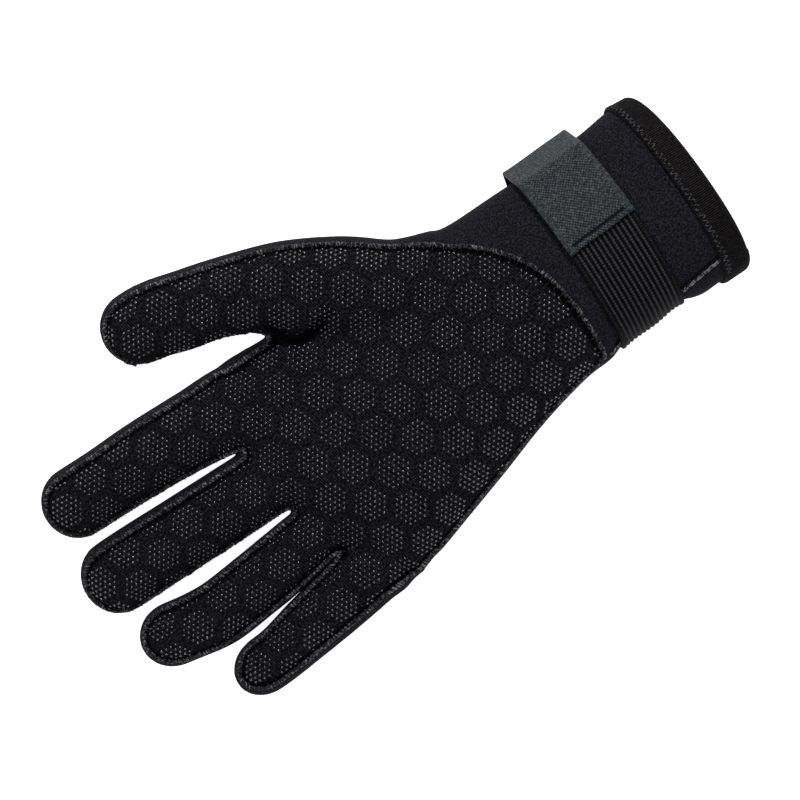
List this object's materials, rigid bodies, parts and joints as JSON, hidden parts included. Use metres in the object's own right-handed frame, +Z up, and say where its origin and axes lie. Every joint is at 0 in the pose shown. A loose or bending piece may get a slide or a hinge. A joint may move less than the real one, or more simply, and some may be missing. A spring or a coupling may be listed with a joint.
{
  "type": "diving glove",
  "caption": "Right-hand neoprene diving glove with a dotted grip palm, stitched panel seams, a bound cuff and an elastic wrist strap with a hook tab.",
  "frame": {"origin": "on the flattened back of the hand, under the middle of the palm, where the glove rests", "axes": "+X to the thumb side, +Y to the fingertips, +Z up out of the palm"},
  "size_m": [0.1538, 0.2715, 0.0472],
  "materials": {
    "palm_knit": "dark knitted nylon on neoprene with small raised glossy dots",
    "smooth_neoprene": "black nylon jersey laminated on neoprene foam",
    "hem_tape": "black ribbed binding tape, zigzag stitched",
    "elastic_webbing": "black lengthwise-ribbed elastic",
    "hook_tape": "dark grey woven back of hook tape",
    "loop_tape": "black brushed loop pile"
  },
  "bodies": {
    "root": {"palm_panel": "palm_knit", "back_panel": "smooth_neoprene", "hem_binding": "hem_tape", "elastic_strap": "elastic_webbing", "hook_tab": "hook_tape", "loop_patch": "loop_tape"}
  },
  "joints": []
}
